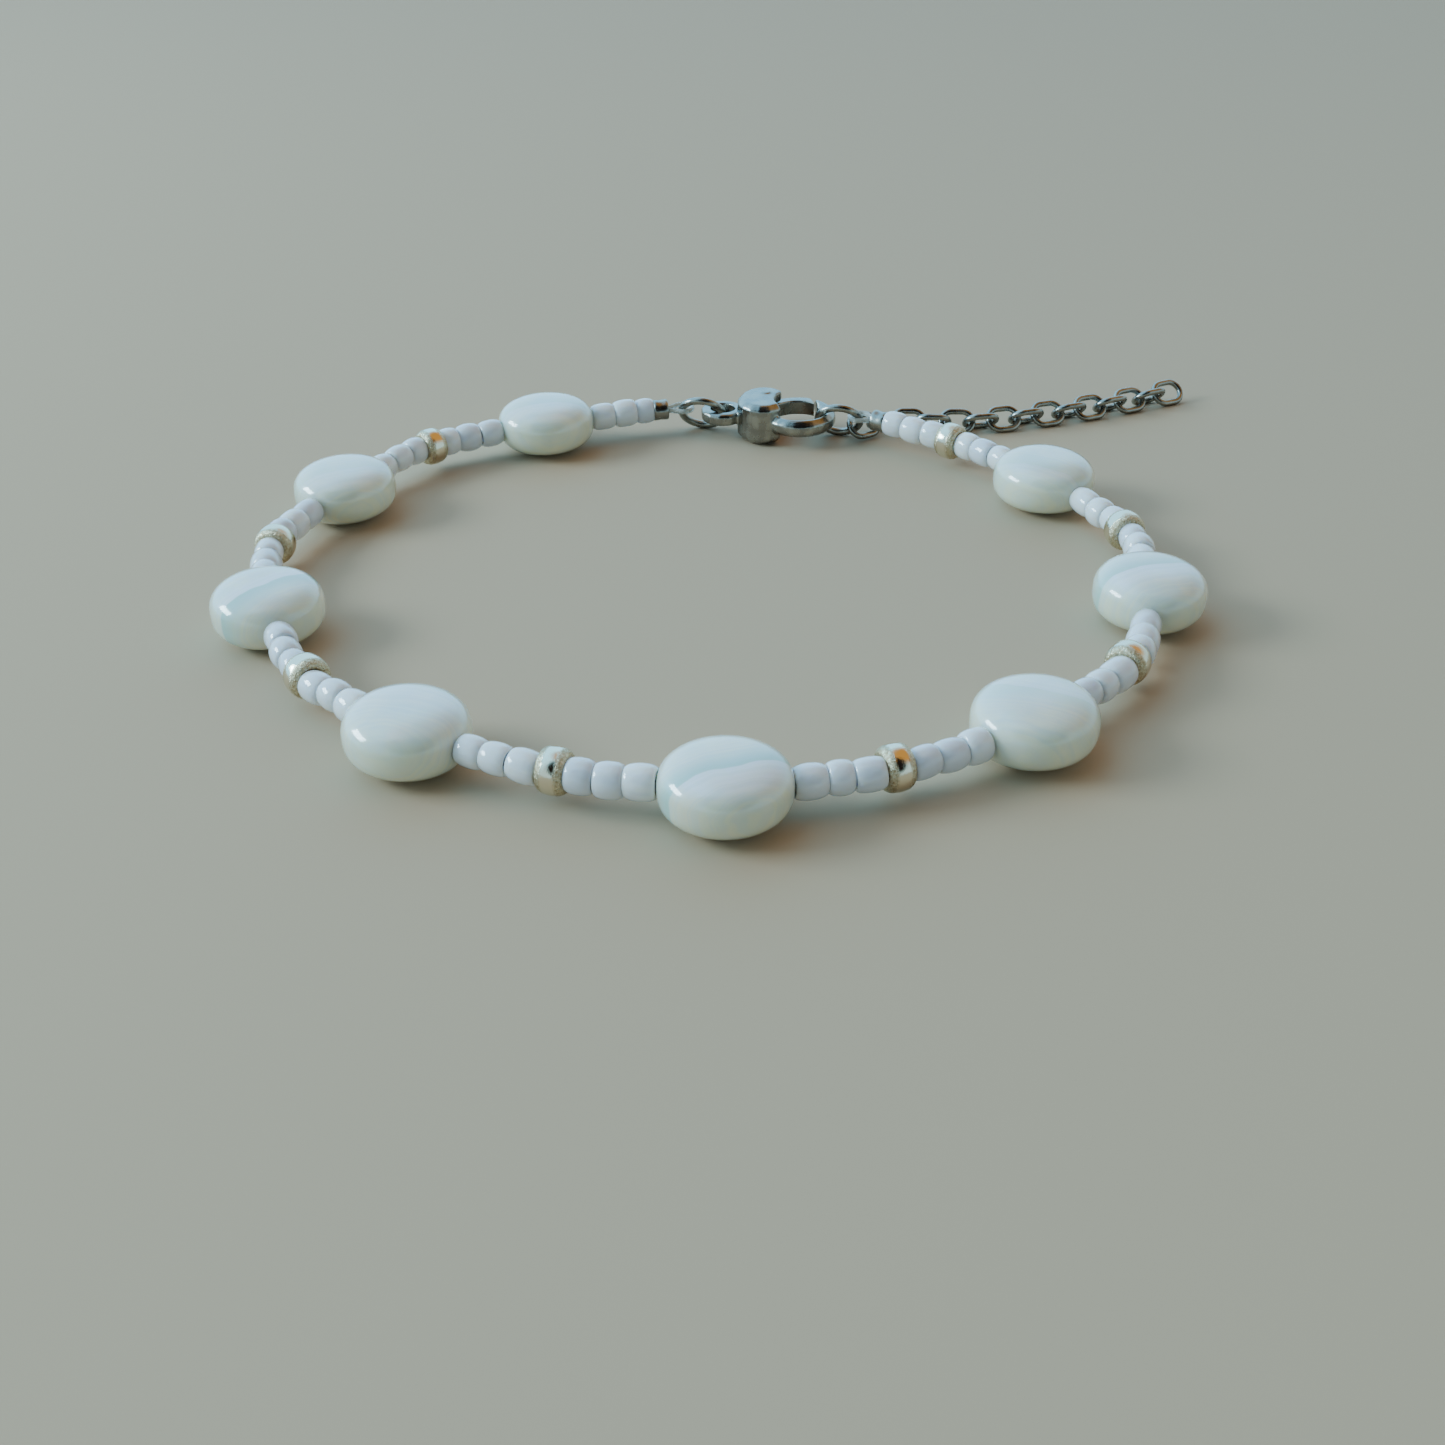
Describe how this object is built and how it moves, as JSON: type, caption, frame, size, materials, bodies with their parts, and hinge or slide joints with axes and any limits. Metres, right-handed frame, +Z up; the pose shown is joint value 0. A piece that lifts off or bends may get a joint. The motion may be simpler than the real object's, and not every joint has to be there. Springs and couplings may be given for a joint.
{
  "type": "beaded bracelet",
  "caption": "Strung bracelet of puffed shell beads, glass seed beads and bright metal beads, with a lobster clasp and an extension chain.",
  "frame": {"origin": "on the table, under the middle of the box round the lying bracelet and its chain", "axes": "+Z up from the table, +X along the longer side of the box, towards the end of the extension chain, +Y from the front shell bead towards the clasp"},
  "size_m": [0.0724, 0.066, 0.004],
  "materials": {
    "mother_of_pearl": "polished shell with soft bands",
    "white_glass": "opaque glossy glass",
    "silver_plate": "bright plated brass",
    "steel": "tumbled stainless steel",
    "nylon": "half clear drawn line"
  },
  "bodies": {
    "bracelet": {"crimp_1": "steel", "seed_run_1": "white_glass", "shell_bead_1": "mother_of_pearl", "seed_run_2": "white_glass", "metal_bead_1": "silver_plate", "seed_run_3": "white_glass", "shell_bead_2": "mother_of_pearl", "seed_run_4": "white_glass", "metal_bead_2": "silver_plate", "seed_run_5": "white_glass", "shell_bead_3": "mother_of_pearl", "seed_run_6": "white_glass", "metal_bead_3": "silver_plate", "seed_run_7": "white_glass", "shell_bead_4": "mother_of_pearl", "seed_run_8": "white_glass", "metal_bead_4": "silver_plate", "seed_run_9": "white_glass", "shell_bead_5": "mother_of_pearl", "seed_run_10": "white_glass", "metal_bead_5": "silver_plate", "seed_run_11": "white_glass", "shell_bead_6": "mother_of_pearl", "seed_run_12": "white_glass", "metal_bead_6": "silver_plate", "seed_run_13": "white_glass", "shell_bead_7": "mother_of_pearl", "seed_run_14": "white_glass", "metal_bead_7": "silver_plate", "seed_run_15": "white_glass", "shell_bead_8": "mother_of_pearl", "seed_run_16": "white_glass", "metal_bead_8": "silver_plate", "seed_run_17": "white_glass", "crimp_2": "steel", "thread": "nylon", "jump_ring_left": "steel", "jump_ring_right": "steel", "clasp_body": "steel", "chain_link_1": "steel", "chain_link_2": "steel", "chain_link_3": "steel", "chain_link_4": "steel", "chain_link_5": "steel", "chain_link_6": "steel", "chain_link_7": "steel", "chain_link_8": "steel", "chain_link_9": "steel", "chain_link_10": "steel", "chain_link_11": "steel", "chain_link_12": "steel", "chain_link_13": "steel", "chain_link_14": "steel", "chain_link_15": "steel"},
    "clasp_lever": {"clasp_lever": "steel"}
  },
  "joints": [
    {"name": "lever_hinge", "type": "hinge", "parent": "bracelet", "child": "clasp_lever", "pos_m": [0.00039, 0.02562, 0.00175], "axis": [0, 0, -1], "range_deg": [0, 28], "stiffness_Nm_per_rad": 0.002}
  ]
}
